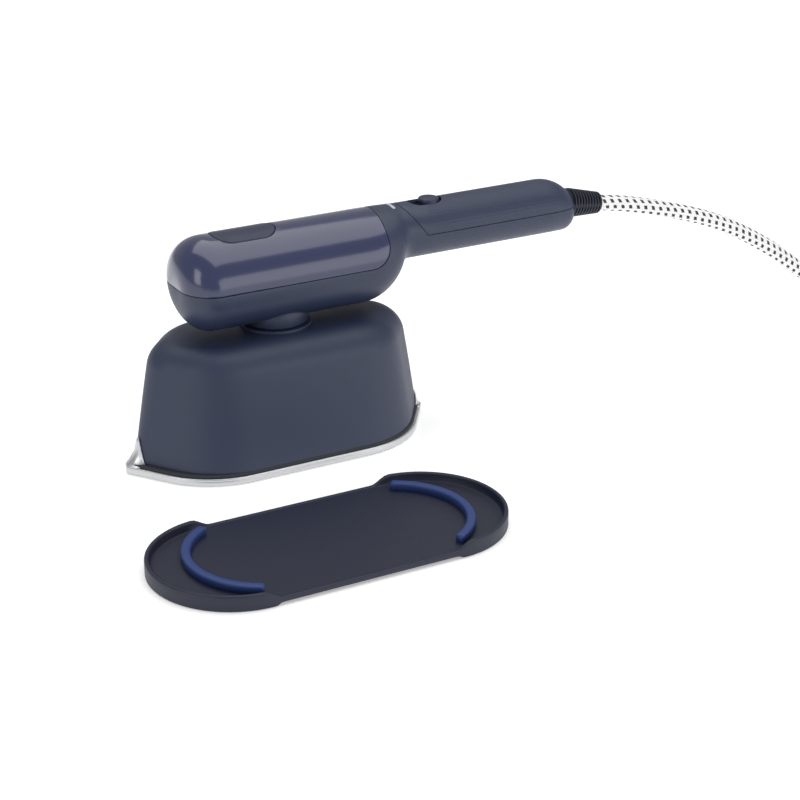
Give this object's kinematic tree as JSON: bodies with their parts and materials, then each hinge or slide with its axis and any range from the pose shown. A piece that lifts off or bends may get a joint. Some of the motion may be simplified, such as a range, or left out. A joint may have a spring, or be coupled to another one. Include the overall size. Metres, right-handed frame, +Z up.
{
  "type": "travel steam iron",
  "caption": "Small travel steam iron with a heated pointed sole, a cylindrical water tank and bar handle that swivel on it, a braided mains cord and a separate rest tray.",
  "frame": {"origin": "centre of the sole's face, which rests on the floor", "axes": "+X from the nose to the handle's end and the cord, +Y to the side away from the rest tray, +Z up"},
  "size_m": [0.5665, 0.2121, 0.1084],
  "materials": {
    "housing": "fine matt",
    "tank": "translucent gloss",
    "tray": "fine matt",
    "strip": "matt",
    "sole": "satin",
    "casting": "as cast",
    "seal": "matt",
    "silicone": "translucent matt",
    "steel": "plain",
    "inner_plastic": "plain",
    "dark_plastic": "satin",
    "indicator": "frosted",
    "board": "satin",
    "boot": "satin",
    "braid": "woven white with black flecks",
    "wire": "plain",
    "plug": "satin",
    "pins": "bright"
  },
  "bodies": {
    "base": {"soleplate": "sole", "heater_casting": "casting", "heating_element": "steel", "chamber_gasket": "silicone", "steam_chamber_lid": "casting", "lid_screws": "steel", "inlet_hose": "silicone", "sole_seal": "seal", "heat_shield": "steel", "carrier_frame": "inner_plastic", "carrier_screws": "steel", "thermostat": "steel", "thermal_fuse": "steel", "terminal_block": "inner_plastic", "heater_leads": "wire", "base_cover": "housing", "pivot_socket": "housing", "socket_nut": "inner_plastic"},
    "handle": {"main_housing": "housing", "handle_top_cover": "housing", "water_tank": "tank", "plug_anchor": "dark_plastic", "tank_outlet_seal": "silicone", "pivot_spindle": "inner_plastic", "spindle_screws": "steel", "friction_washer": "inner_plastic", "pivot_retainer": "steel", "pump": "inner_plastic", "suction_hose": "silicone", "delivery_hose": "silicone", "circuit_board": "board", "indicator_led": "indicator", "indicator_lens": "indicator", "switch_body": "inner_plastic", "switch_surround": "dark_plastic", "power_leads": "wire", "cord_clamp": "inner_plastic", "clamp_screws": "steel", "housing_screws": "steel", "cord_boot": "boot", "cord_inner_end": "braid", "cord": "braid", "cord_coil": "braid", "cord_tie": "seal", "cord_tail": "braid", "mains_plug": "plug", "plug_pins": "pins"},
    "switch": {"switch_knob": "housing"},
    "filler": {"filler_plug": "dark_plastic"},
    "tray": {"rest_tray": "tray", "tray_strips": "strip"}
  },
  "joints": [
    {"name": "handle_swivel", "type": "hinge", "parent": "base", "child": "handle", "pos_m": [0, 0, 0.0618], "axis": [0, 0, 1], "range_deg": [-90, 90]},
    {"name": "switch_slide", "type": "slide", "parent": "handle", "child": "switch", "axis": [-1, 0, 0], "range_m": [0, 0.005]},
    {"name": "filler_plug_hinge", "type": "hinge", "parent": "handle", "child": "filler", "pos_m": [-0.0094, 0, 0.1077], "axis": [0, 1, 0], "range_deg": [0, 95]},
    {"name": "tray_lift", "type": "slide", "parent": "base", "child": "tray", "axis": [0, 0, 1], "range_m": [0, 0.05]}
  ]
}
